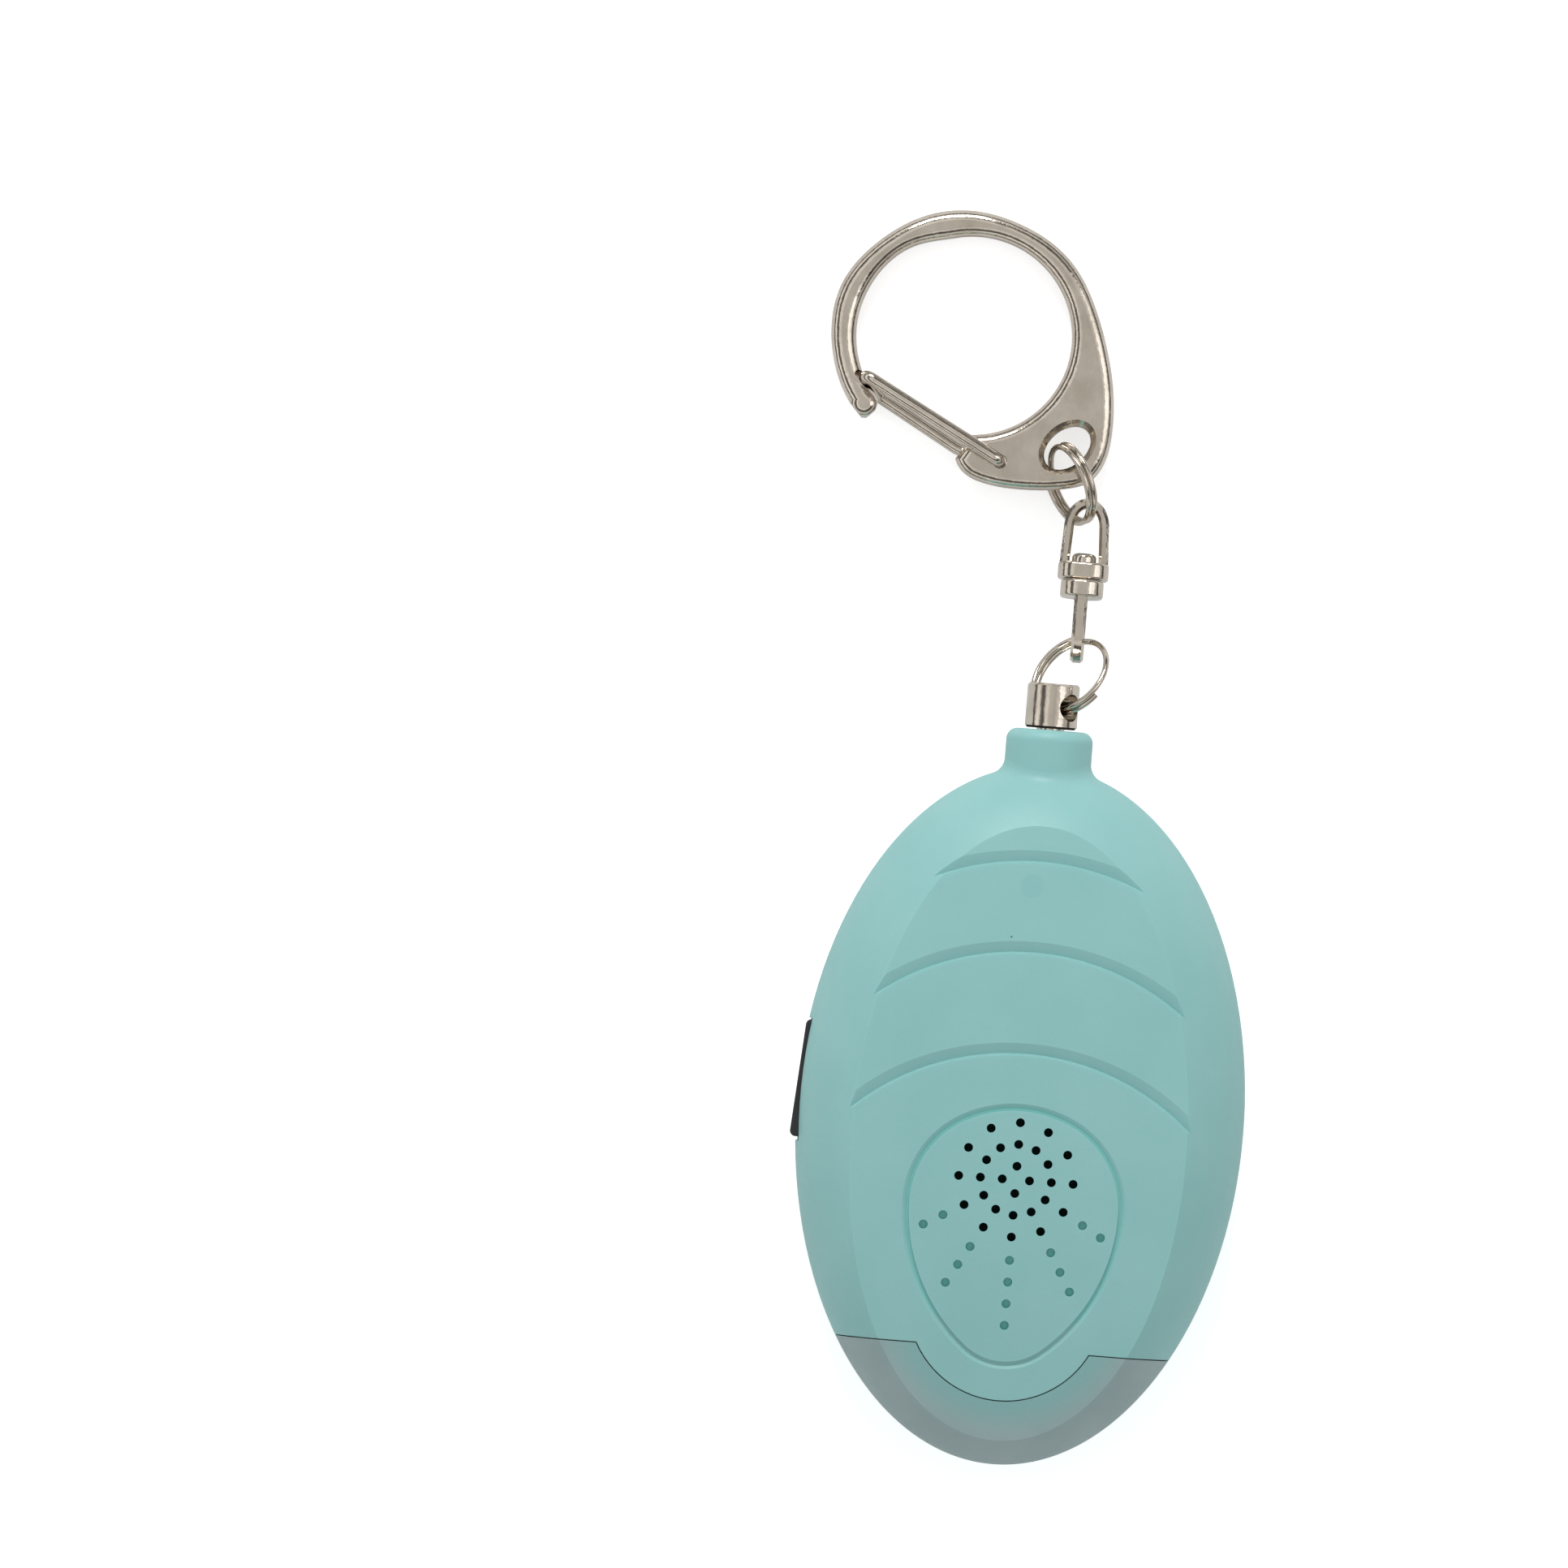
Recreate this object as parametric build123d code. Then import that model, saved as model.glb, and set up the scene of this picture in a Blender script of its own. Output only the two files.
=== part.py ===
from build123d import *
import math
import os

# A personal safety alarm with a pull pin and a snap clip. Millimetres.
# Origin: centre of the flat rear face. +X right, +Y towards the pull pin, +Z up out of the front.

# Case
case_width = 48.0
case_length = 75.0
parting_height = 10.5
dome_rise = 16.3
plateau_rise = 11.0
plateau_radius = 170.0
plateau_crest_y = 5.9
tub_depth = 20.0
wall = 1.8
neck_radius = 4.65
neck_stand = 3.9
neck_root_radius = 1.8
neck_rim_radius = 1.2
seam_depth = 0.2
seam_height = 0.2
lip_gap = 0.2
lip_thickness = 0.9
lip_height = 1.3

# Face pattern: three arched grooves, a shield line, the sound holes and the felt behind them
ridge_top_ys = (28.45, 18.7, 7.82)
ridge_radius = 28.0
ridge_slope_width = 1.1
ridge_wall_width = 0.22
ridge_depth = 0.42
ridge_half_run = 2.9
ridge_span_angle = 100
shield_top_y = 0.8
shield_wide_y = -9.74
shield_half_width = 11.4
shield_shoulder_radius = 10.26
shield_side_radius = 19.8
shield_foot_radius = 6.57
shield_line_out = 0.55
shield_line_in = 0.22
shield_line_slope = 0.5
shield_line_depth = 0.3
sound_y = -6.8
sound_hole_radius = 0.48
sound_rings = ((1.46, 4), (3.80, 12), (6.13, 12))
dimple_rays = ((0, 4), (30, 3), (-30, 3), (60, 2), (-60, 2))
dimple_first = 8.63
dimple_step = 2.33
dimple_depth = 0.6
felt_radius = 8.3
felt_thickness = 0.5

# Lens over the lamps
lens_line_inset = 12.5
lens_thickness = 1.0
lens_gap = 0.12
lens_seat_gap = 0.05
tongue_radius = 10.5
tongue_inset = 17.4
flange_width = 3.5
lens_rim_height = 1.6

# Case screws and their posts
screw_radius = 1.0
screw_head_radius = 1.8
screw_head_height = 1.2
screw_length = 10.5
screw_seat_height = 3.0
screw_fit = 0.05
screw_slot_share = 0.6
post_radius = 2.5
neck_screw_inset = 12.9
side_screw_inset = 6.5
side_screw_drop = 13.7

# Circuit board
board_height = 9.2
board_thickness = 1.0
board_side_room = 7.2
board_foot_room = 6.5
board_head_room = 18.5
board_post_gap = 0.4
pillar_radius = 1.8
pillar_side_room = 11.5
pillar_head_room = 28.0
pillar_foot_room = 9.5

# Coin cells and their door
cell_radius = 10.0
cell_thickness = 3.2
cell_count = 2
cell_gap = 0.05
cell_y = -6.0
bay_gap = 1.2
bay_wall = 1.1
door_gap = 0.15
door_step = 0.9
door_rim = 1.8
door_lug_radius = 3.4
door_lug_height = 2.0
door_lug_cover = 1.1
door_screw_offset = 14.6
door_screw_seat = 0.1
door_screw_length = 5.0
door_tab_width = 6.0
door_tab_length = 2.4
door_tab_thickness = 0.8
leaf_thickness = 0.25
leaf_width = 3.0
leaf_gap = 0.03

# Siren
disc_radius = 13.4
disc_thickness = 0.3
disc_room = 1.65
ceramic_radius = 10.0
ceramic_thickness = 0.25
seal_thickness = 0.5
seal_width = 1.4
collar_gap = 0.15
collar_wall = 1.05
collar_drop = 0.4
ledge_width = 1.2

# Lamps
lamp_radius = 1.5
lamp_length = 5.3
lamp_rim_radius = 1.75
lamp_rim_length = 0.9
lamp_height = 12.4
lamp_spacing = 6.5
lamp_back_room = 9.0
lamp_side_set_back = 2.5
lamp_lead = 0.5
lamp_lead_pitch = 1.27
lamp_lead_reach = 1.5

# Side button with its pin and switch
button_top_y = 8.5
button_low_y = -4.1
button_top_inset = 0.4
button_low_stand = 0.5
button_root_inset = 3.4
button_height = 5.2
button_corner = 0.6
button_gap = 0.2
button_low_gap = 0.4
button_flange = 0.7
button_flange_thickness = 0.8
pivot_inset = 4.1
pivot_y = 7.6
pivot_radius = 0.6
pivot_fit = 0.05
pivot_lug_radius = 1.2
pivot_lug_height = 5.6
pivot_post_radius = 1.5
pivot_post_gap = 0.25
pivot_pin_length = 10.0
switch_inset = 10.0
switch_y = -0.5
switch_size = 4.5
switch_height = 3.2
plunger_radius = 0.9
plunger_reach = 2.0
plunger_depth = 1.2
plunger_fit = 0.05
plunger_room = 0.5
nub_radius = 0.6
nub_gap = 0.08

# Parts on the board
coil_radius = 3.4
coil_height = 4.0
coil_flange = 0.6
coil_waist_share = 0.78
coil_x = 7.5
coil_room = 7.5
capacitor_radius = 2.0
capacitor_height = 4.0
capacitor_x = -6.5
capacitor_room = 6.5
chip_size = (5.0, 4.0, 1.5)
chip_place = (-6.0, -14.0)
transistor_size = (3.0, 1.6, 1.2)
transistor_x = 0.5
transistor_room = 7.0
resistor_size = (2.0, 1.2, 0.6)
resistor_x = 5.0
resistor_room = 11.5
resistor_pitch = 2.2
resistor_count = 4
contact_height_share = 0.45
contact_foot = 1.2
contact_width = 2.0
contact_xs = (-4.0, 11.6)

# Pull pin and its socket
pin_radius = 1.5
pin_tip_depth = 11.9
pin_fit = 0.05
pin_groove_place = 9.8
pin_groove_width = 1.0
pin_groove_depth = 0.3
pin_tip_chamfer = 0.5
socket_radius = 3.0
socket_length = 7.8
socket_recess = 0.2
socket_flange_radius = 3.5
socket_flange_depth = 3.4
socket_flange_length = 0.8
socket_fit = 0.1
wiper_bend_x = 3.4
wiper_start_room = 3.5
wiper_bend_depth = 13.1
wiper_touch_depth = 10.4
wiper_end_depth = 8.2
wiper_flare = 0.7
wiper_height = 2.0
cap_radius = 2.8
cap_length = 4.85
cap_gap = 0.15
cap_chamfer = 0.25
cap_seat_depth = 0.8
cap_hole_stand = 2.5
cap_hole_radius = 1.45
cap_hole_angle = 42

# Split rings; the upper one is placed from the crown of the swivel
lower_ring_radius = 4.5
upper_ring_radius = 4.25
ring_wire = 0.62
ring_pitch = 0.68
ring_slack = 0.5
lower_ring_shift = 0.5
lower_ring_drop = 30.5
lower_ring_start_angle = 247
lower_ring_turns = 1.647
upper_ring_start_angle = 179
upper_ring_turns = 1.83
upper_ring_x = -2.0237
upper_ring_y = 2.4804
upper_ring_z = -0.615
upper_ring_heading = 24.8
upper_ring_lean = 66.4

# Swivel: two like castings held by one rivet
link_length = 8.8
link_plate_width = 5.47
link_plate_depth = 4.62
link_plate_thickness = 1.8
link_plate_corner = 1.9
link_root_half_width = 2.7
link_shoulder_half_width = 2.42
link_shoulder_y = 5.7
link_bar = 1.05
link_depth = 1.4
link_bevel = 0.3
link_gap = 0.12
link_drop_angle = 5
link_ring_angle = 17
link_arch_gap = 1.2
rivet_radius = 0.8
rivet_fit = 0.05
rivet_head_radius = 1.3
rivet_head_height = 1.0
rivet_tail_radius = 1.15
rivet_tail_height = 0.4

# Snap clip: the middle of its round opening from the upper ring, then sizes from that middle
clip_x = -11.79
clip_y = 15.1
clip_z = -2.53
clip_tilt = 4.3
clip_bore_radius = 10.7
clip_thickness = 2.8
clip_round = 1.15
clip_inner_start_angle = -86
clip_inner_end_angle = 104
clip_hook_inner_shares = ((-0.64, 0.86), (-1.0, 0.53), (-1.16, 0.08), (-1.11, -0.35), (-0.97, -0.62), (-0.885, -0.73))
clip_tip_share = (-1.035, -0.915)
clip_tip_flat_shares = ((-0.883, -0.70), (-0.915, -0.82), (-1.0, -0.905), (-1.045, -0.905), (-1.185, -0.75))
clip_outer_shares = (
    (-1.185, -0.75), (-1.405, -0.18), (-1.35, 0.42), (-1.02, 0.87), (-0.49, 1.195), (-0.02, 1.252),
    (0.36, 1.17), (0.74, 0.985), (1.01, 0.73), (1.21, 0.38), (1.36, -0.03), (1.455, -0.45),
    (1.475, -0.88), (1.42, -1.18), (1.28, -1.38), (1.03, -1.47), (0.62, -1.505), (0.25, -1.475),
    (0.03, -1.39), (-0.075, -1.25))
eye_x = 11.1
eye_y = -11.3
eye_half_length = 2.85
eye_half_width = 1.95
eye_angle = 45
eye_bevel = 0.6

# Wire gate of the clip
gate_radius = 0.7
gate_pivot_x = 4.0
gate_pivot_y = -13.4
gate_pivot_fit = 0.07
gate_face_gap = 0.08
gate_end_gap = 0.25
gate_front_shares = (-1.089, -0.470)
gate_back_shares = (-0.888, -0.661)
gate_kink_shares = (-0.064, -1.125)
gate_bend_radius = 0.85
gate_kink_radius = 3.0
gate_notch_gap = 0.25
gate_notch_angle = 4
gate_pivot_bevel = 0.25

# Worked out from the sizes above
overrun = 0.5 * wall
reach = 3 * case_length
half_width = case_width / 2
half_length = case_length / 2
stand = (Align.CENTER, Align.CENTER, Align.MIN)
front_top = parting_height + plateau_rise
neck_end_y = half_length + neck_stand
lens_line_y = lens_line_inset - half_length
tongue_y = tongue_inset - half_length
lamp_back_y = lamp_back_room - half_length
board_top = board_height + board_thickness
board_half_width = half_width - board_side_room
board_half_length = (case_length - board_foot_room - board_head_room) / 2
board_y = (board_foot_room - board_head_room) / 2
board_head_y = half_length - board_head_room
seat_y = sound_y - disc_radius - plateau_crest_y
seat_top = front_top - plateau_radius + math.sqrt((plateau_radius - wall) ** 2 - seat_y ** 2)
disc_top = seat_top - disc_room - seal_thickness
disc_height = disc_top - disc_thickness
door_opening_radius = cell_radius + bay_gap
door_screw_y = cell_y + door_screw_offset
cell_floor = wall + cell_gap
cell_top = cell_floor + cell_count * cell_thickness + (cell_count - 1) * cell_gap
side_screw_y = sound_y - side_screw_drop
side_screw_x = half_width * math.sqrt(1 - (side_screw_y / half_length) ** 2) - side_screw_inset
case_screw_places = ((0, half_length - neck_screw_inset), (side_screw_x, side_screw_y), (-side_screw_x, side_screw_y))
pillar_x = half_width - pillar_side_room
pillar_y = half_length - pillar_head_room
pillar_places = ((pillar_x, pillar_y), (-pillar_x, pillar_y), (0, pillar_foot_room - half_length))
button_top_x = button_top_inset - half_width
button_low_x = -button_low_stand - half_width
button_root_x = button_root_inset - half_width
pivot_x = pivot_inset - half_width
switch_x = switch_inset - half_width
coil_place = (coil_x, board_head_y - coil_room)
capacitor_place = (capacitor_x, board_head_y - capacitor_room)
transistor_place = (transistor_x, board_head_y - transistor_room)
resistor_place = (resistor_x, lamp_back_y + resistor_room)
pin_groove_y = neck_end_y - pin_groove_place
socket_start_y = neck_end_y - socket_length
socket_flange_y = neck_end_y - socket_flange_depth
cap_start_y = neck_end_y + cap_gap
cap_hole = Vector(0, neck_end_y + cap_hole_stand, parting_height)


def slab(low, high):
    """All the space between two heights."""
    return Pos(0, 0, low) * Box(reach, reach, high - low, align=stand)


def column(place, radius, low, high):
    """An upright cylinder between two heights."""
    return Pos(place[0], place[1], low) * Cylinder(radius, high - low, align=stand)


def along_y(radius, start, end, x=0.0, z=parting_height):
    """A cylinder that runs in +Y."""
    return Pos(x, start, z) * Rot(-90, 0, 0) * Cylinder(radius, end - start, align=stand)


def block(low, high):
    """A box from its lowest corner to its highest."""
    size = [b - a for a, b in zip(low, high)]
    return Pos(*low) * Box(*size, align=(Align.MIN, Align.MIN, Align.MIN))


def strip(points, thickness, plane, width):
    """A flat spring: a bent line in a plane, given a thickness, and a width both ways."""
    line = trace(Polyline(*points), thickness)
    return extrude(plane * line, width / 2, both=True)


# Case forms
def ellipsoid(inset, depth):
    half = (half_width - inset, half_length - inset, depth - inset)
    return Pos(0, 0, parting_height) * scale(Sphere(1), by=half)


def plateau(inset):
    """The long cylinder whose skin is the ridged front face."""
    axis_height = front_top - plateau_radius
    return Pos(0, plateau_crest_y, axis_height) * Rot(0, 90, 0) * Cylinder(plateau_radius - inset, reach)


def dome(inset):
    return ellipsoid(inset, dome_rise) & slab(parting_height, parting_height + dome_rise) & plateau(inset)


def tub(inset):
    return ellipsoid(inset, tub_depth) & slab(inset, parting_height)


def case_form():
    """Dome, tub and neck as one block, with the neck blended in."""
    form = dome(0) + tub(0) + along_y(neck_radius, neck_end_y - 2 * neck_radius, neck_end_y)
    root = [edge for edge in form.edges() if edge.length > neck_radius
            and edge.bounding_box().size.X < 3 * neck_radius and edge.bounding_box().max.Y < neck_end_y - overrun
            and edge.bounding_box().min.Y > half_length - neck_radius]
    form = form.fillet(neck_root_radius, root)
    rim = form.edges().filter_by(GeomType.CIRCLE).group_by(Axis.Y)[-1]
    return form.fillet(neck_rim_radius, rim)


def oval(inset, low, high):
    """An upright elliptic block that follows the outline of the case."""
    face = Ellipse(half_width - inset, half_length - inset)
    return Pos(0, 0, low) * extrude(face, high - low)


def seam():
    """The shadow line where the two shells meet."""
    low, high = parting_height - seam_height / 2, parting_height + seam_height / 2
    return oval(-wall, low, high) - oval(seam_depth, low, high)


def button_window(gap):
    """The opening that the side button stands in."""
    half = button_height / 2 + gap
    return block((-case_width, button_low_y - button_low_gap, parting_height - half),
                 (button_root_x + overrun, button_top_y + gap, parting_height + half))


def pin_socket_space():
    space = along_y(socket_radius + pin_fit, socket_start_y - wall, neck_end_y + overrun)
    return space + along_y(socket_flange_radius + socket_fit, socket_flange_y - socket_fit,
                           socket_flange_y + socket_flange_length + socket_fit)


# Face pattern
def ridges():
    """Grooves with a gentle upper slope and a steep lower wall, each on a circle that lies on the face."""
    cuts = []
    for top_y in ridge_top_ys:
        tilt = math.degrees(math.asin((top_y - ridge_half_run - plateau_crest_y) / plateau_radius))
        rise = math.sqrt(plateau_radius ** 2 - (top_y - plateau_crest_y) ** 2) - plateau_radius
        foot = ridge_radius - ridge_slope_width
        section = Plane.XZ * make_face(Polyline(
            (ridge_radius + ridge_slope_width, ridge_depth), (foot, -ridge_depth),
            (foot - 2 * ridge_wall_width, ridge_depth), close=True))
        turned = Rot(0, 0, 90 - ridge_span_angle / 2) * section
        groove = revolve(turned, Axis.Z, revolution_arc=ridge_span_angle)
        seat = Pos(0, top_y, front_top + rise) * Rot(-tilt, 0, 0) * Pos(0, -ridge_radius, 0)
        cuts.append(seat * groove)
    return cuts


def polar(centre, radius, angle):
    turn = math.radians(angle)
    return centre[0] + radius * math.cos(turn), centre[1] + radius * math.sin(turn)


def bearing(start, end):
    return math.degrees(math.atan2(end[1] - start[1], end[0] - start[0]))


def shield(grow):
    """The outline of the shield, from six tangent arcs."""
    shoulder = (shield_half_width - shield_shoulder_radius, shield_wide_y)
    side = (shield_half_width - shield_side_radius, shield_wide_y)
    rise = shield_top_y - shield_wide_y
    top_radius = (shoulder[0] ** 2 + rise ** 2 - shield_shoulder_radius ** 2) / (2 * (rise - shield_shoulder_radius))
    top = (0, shield_top_y - top_radius)
    drop = math.sqrt((shield_side_radius - shield_foot_radius) ** 2 - side[0] ** 2)
    foot = (0, shield_wide_y - drop)
    top_angle = bearing(top, shoulder)
    foot_angle = bearing(side, foot)
    arcs = [CenterArc(foot, shield_foot_radius + grow, -90, 90 + foot_angle),
            CenterArc(side, shield_side_radius + grow, foot_angle, -foot_angle),
            CenterArc(shoulder, shield_shoulder_radius + grow, 0, top_angle),
            CenterArc(top, top_radius + grow, top_angle, 90 - top_angle)]
    half = make_face(Wire(arcs + [Line(arcs[-1] @ 1, arcs[0] @ 0)]))
    return half + mirror(half, Plane.YZ)


def shield_line():
    """A groove with a gentle outer slope, which runs on above the face, and a steep inner wall."""
    ring = shield(shield_line_out + shield_line_slope / 2) - shield(-shield_line_in)
    band = Pos(0, 0, parting_height) * extrude(ring, plateau_rise + overrun) - plateau(shield_line_depth)
    floor = min(band.faces(), key=lambda face: face.normal_at().Z)
    return band.chamfer(1.5 * shield_line_slope, 1.5 * shield_line_depth, floor.outer_wire().edges(), floor)


def sound_places():
    for radius, count in sound_rings:
        for index in range(count):
            yield polar((0, sound_y), radius, 90 + 360 * index / count)


def dimple_places():
    for ray, count in dimple_rays:
        for index in range(count):
            yield polar((0, sound_y), dimple_first + index * dimple_step, ray - 90)


def lens_area(gap):
    """Plan of the lens: all beyond a straight line, less the rounded tongue of the shell."""
    low = Pos(0, lens_line_y + gap) * Rectangle(reach, reach, align=(Align.CENTER, Align.MAX))
    return low - Pos(0, tongue_y) * Circle(tongue_radius - gap)


def lamp_window():
    """The opening in the front shell behind the lens."""
    low = Pos(0, lens_line_y - flange_width) * Rectangle(reach, reach, align=(Align.CENTER, Align.MAX))
    area = low - Pos(0, tongue_y) * Circle(tongue_radius + flange_width)
    return Pos(0, 0, parting_height + lens_rim_height) * extrude(area, dome_rise)


# Case pieces
def front_shell():
    shell = (case_form() & slab(parting_height, front_top)) - dome(wall)
    inside = dome(wall / 2)
    collar_low = disc_height - collar_drop
    collar_radius = disc_radius + collar_gap
    outer = collar_radius + collar_wall
    place = (0, sound_y)
    collar = column(place, outer, collar_low, front_top) - column(place, collar_radius, collar_low, front_top)
    ledge_low = disc_top + seal_thickness
    ledge = column(place, outer, ledge_low, front_top)
    ledge -= column(place, collar_radius - ledge_width, ledge_low, front_top)
    shell += (collar + ledge) & inside
    for place in case_screw_places:
        shell += column(place, post_radius, parting_height, front_top) & inside
    pivot_low = parting_height + pivot_lug_height / 2 + pivot_post_gap
    pivot = (pivot_x, pivot_y)
    shell += column(pivot, pivot_post_radius, pivot_low, front_top) & inside
    shell -= column(pivot, pivot_radius + pivot_fit, pivot_low, parting_height + pivot_pin_length / 2)
    for place in case_screw_places:
        shell -= column(place, screw_radius + screw_fit, parting_height, screw_seat_height + screw_length + overrun)
    shell -= pin_socket_space()
    shell -= button_window(button_gap)
    shell -= seam()
    seat = Pos(0, 0, parting_height) * extrude(lens_area(lens_gap), dome_rise)
    shell -= seat - dome(lens_thickness + lens_seat_gap)
    shell -= lamp_window()
    shell -= ridges()
    shell -= shield_line()
    shell -= [column(place, sound_hole_radius, ledge_low, front_top + overrun) for place in sound_places()]
    dimples = [column(place, sound_hole_radius, ledge_low, front_top + overrun) - plateau(dimple_depth)
               for place in dimple_places()]
    return shell - dimples


def dust_felt():
    """Black felt glued under the face, behind the sound holes."""
    disc = column((0, sound_y), felt_radius, disc_top + seal_thickness, front_top)
    return (disc & plateau(wall)) - plateau(wall + felt_thickness)


def lens():
    area = Pos(0, 0, parting_height) * extrude(lens_area(0), dome_rise)
    body = (dome(0) & area) - dome(lens_thickness)
    return body - seam()


def door_outline(grow):
    return Pos(0, cell_y) * Circle(door_opening_radius + door_rim + grow) \
        + Pos(0, door_screw_y) * Circle(door_lug_radius + grow)


def rear_shell():
    shell = (case_form() & slab(0, parting_height)) - tub(wall)
    inside = tub(wall / 2)
    low_lip = oval(wall / 2, parting_height - lip_height, parting_height)
    low_lip -= oval(wall + lip_gap + lip_thickness, parting_height - lip_height, parting_height)
    shell += low_lip & inside
    lip = oval(wall + lip_gap, parting_height, parting_height + lip_height)
    lip -= oval(wall + lip_gap + lip_thickness, parting_height, parting_height + lip_height)
    shell += lip
    bay_radius = door_opening_radius + bay_wall
    bay = column((0, cell_y), bay_radius, wall / 2, cell_top)
    shell += bay
    for place in case_screw_places:
        shell += column(place, post_radius, wall / 2, parting_height)
    for place in pillar_places:
        shell += column(place, pillar_radius, wall / 2, board_height) & (inside + slab(parting_height / 2, board_height))
    shell += column((0, door_screw_y), post_radius, wall / 2, wall + door_screw_length)
    cover = door_lug_height + door_gap
    shell += column((0, door_screw_y), door_lug_radius + door_lug_cover, wall / 2, cover + door_lug_cover)
    pivot_high = parting_height - pivot_lug_height / 2 - pivot_post_gap
    pivot = (pivot_x, pivot_y)
    shell += column(pivot, pivot_post_radius, wall, pivot_high) & inside
    shell -= column(pivot, pivot_radius + pivot_fit, parting_height - pivot_pin_length / 2, pivot_high)
    shell -= column((0, cell_y), door_opening_radius, -overrun, cell_top)
    shell -= Pos(0, 0, -overrun) * extrude(door_outline(door_gap), door_step + door_gap / 2 + overrun)
    shell -= column((0, door_screw_y), door_lug_radius + door_gap, -overrun, cover)
    tab_half = door_tab_width / 2 + door_gap
    tab_y = cell_y - door_opening_radius
    shell -= block((-tab_half, tab_y - door_tab_length - door_gap, wall),
                   (tab_half, tab_y + overrun, wall + door_tab_thickness + 3 * door_gap))
    shell -= block((cell_radius, cell_y - leaf_width, wall), (bay_radius + overrun, cell_y + leaf_width, board_height))
    shell -= column((0, door_screw_y), screw_radius + screw_fit, -overrun, wall + door_screw_length)
    for place in case_screw_places:
        shell -= column(place, screw_radius + screw_fit, -overrun, parting_height)
        shell -= column(place, screw_head_radius + 2 * screw_fit, -overrun, screw_seat_height)
    shell -= pin_socket_space()
    lip_clear = button_flange + button_gap
    shell -= block((wall / 2 - half_width, button_low_y - button_flange - button_low_gap,
                    parting_height - button_height / 2 - lip_clear),
                   (pivot_x + pivot_post_radius, pivot_y + pivot_lug_radius + lip_clear,
                    parting_height + lip_height)) & inner_space()
    shell -= button_window(button_gap)
    return shell - seam()


def inner_space():
    """The room inside the two walls."""
    return dome(wall) + tub(wall)


def battery_door():
    door = extrude(door_outline(0), door_step)
    door += column((0, cell_y), door_opening_radius - door_gap, 0, wall)
    door += column((0, door_screw_y), door_lug_radius, 0, door_lug_height)
    tab_half = door_tab_width / 2
    riser_y = cell_y - cell_radius - door_gap
    tab_y = cell_y - door_opening_radius
    tab_low = wall + door_gap
    door += block((-tab_half, tab_y + 4 * door_gap, wall / 2), (tab_half, riser_y, tab_low + door_tab_thickness))
    door += block((-tab_half, tab_y - door_tab_length, tab_low), (tab_half, riser_y, tab_low + door_tab_thickness))
    door -= column((0, door_screw_y), screw_radius + screw_fit, 0, door_lug_height)
    door -= column((0, door_screw_y), screw_head_radius + screw_fit, 0, door_screw_seat + screw_head_height)
    grip = Pos(0, cell_y, 0) * Box(door_opening_radius, door_step, door_step)
    return door - grip


def screw(place, head_low, length, up=True):
    """A pan-head screw that goes in from the rear, with a crossed recess."""
    body = column(place, screw_head_radius, head_low, head_low + screw_head_height)
    body += column(place, screw_radius, head_low, head_low + length)
    arm = screw_slot_share * screw_head_radius
    slot = screw_slot_share * screw_head_height
    for angle in (0, 90):
        body -= Pos(place[0], place[1], head_low) * Rot(0, 0, angle) * Box(2 * arm, slot / 2, slot)
    return body


def case_screws():
    head_low = screw_seat_height - screw_head_height
    return [screw(place, head_low, screw_length) for place in case_screw_places]


def door_screw():
    return screw((0, door_screw_y), door_screw_seat, door_screw_length)


def circuit_board():
    board = Pos(0, board_y, board_height) * extrude(Ellipse(board_half_width, board_half_length), board_thickness)
    for place in case_screw_places:
        board -= column(place, post_radius + board_post_gap, board_height, board_top)
    return board


def coin_cells():
    cells = []
    for index in range(cell_count):
        low = cell_floor + index * (cell_thickness + cell_gap)
        cell = column((0, cell_y), cell_radius, low, low + cell_thickness)
        cells.append(cell.chamfer(cell_gap * 4, None, cell.edges().filter_by(GeomType.CIRCLE)))
    return cells


def negative_contact():
    """A leaf under the board that presses on the upper cell."""
    room = board_height - cell_top
    top = board_height - leaf_thickness / 2
    low = cell_top + leaf_gap + leaf_thickness / 2
    points = [(-cell_radius / 2, top), (-cell_radius / 4, top), (cell_radius / 3, low), (cell_radius / 2, low + room / 3)]
    return strip(points, leaf_thickness, Plane.XZ.offset(-cell_y), leaf_width)


def positive_contact():
    """A leaf that hangs from the board and touches the rim of the cells."""
    top = board_height - leaf_thickness / 2
    x = cell_radius + leaf_gap + leaf_thickness / 2
    points = [(cell_radius + bay_gap + bay_wall, top), (x, top), (x, cell_floor + cell_thickness / 2)]
    return strip(points, leaf_thickness, Plane.XZ.offset(-cell_y), leaf_width)


# Siren
def siren_disc():
    return column((0, sound_y), disc_radius, disc_height, disc_top)


def siren_ceramic():
    return column((0, sound_y), ceramic_radius, disc_height - ceramic_thickness, disc_height)


def siren_seal():
    ring = column((0, sound_y), disc_radius, disc_top, disc_top + seal_thickness)
    return ring - column((0, sound_y), disc_radius - seal_width, disc_top, disc_top + seal_thickness)


def siren_contacts():
    """Two Z-shaped springs from the board to the ceramic and to the disc."""
    springs = []
    for x, top in zip(contact_xs, (disc_height - ceramic_thickness, disc_height)):
        low = board_top + leaf_thickness / 2
        high = top - leaf_gap - leaf_thickness / 2
        middle = low + contact_height_share * (high - low)
        points = [(x - contact_foot, low), (x + contact_foot / 2, low), (x - contact_foot / 2, middle),
                  (x + contact_foot / 2, high), (x - contact_foot / 2, high)]
        springs.append(strip(points, leaf_thickness, Plane.XZ.offset(-sound_y), contact_width))
    return springs


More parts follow.
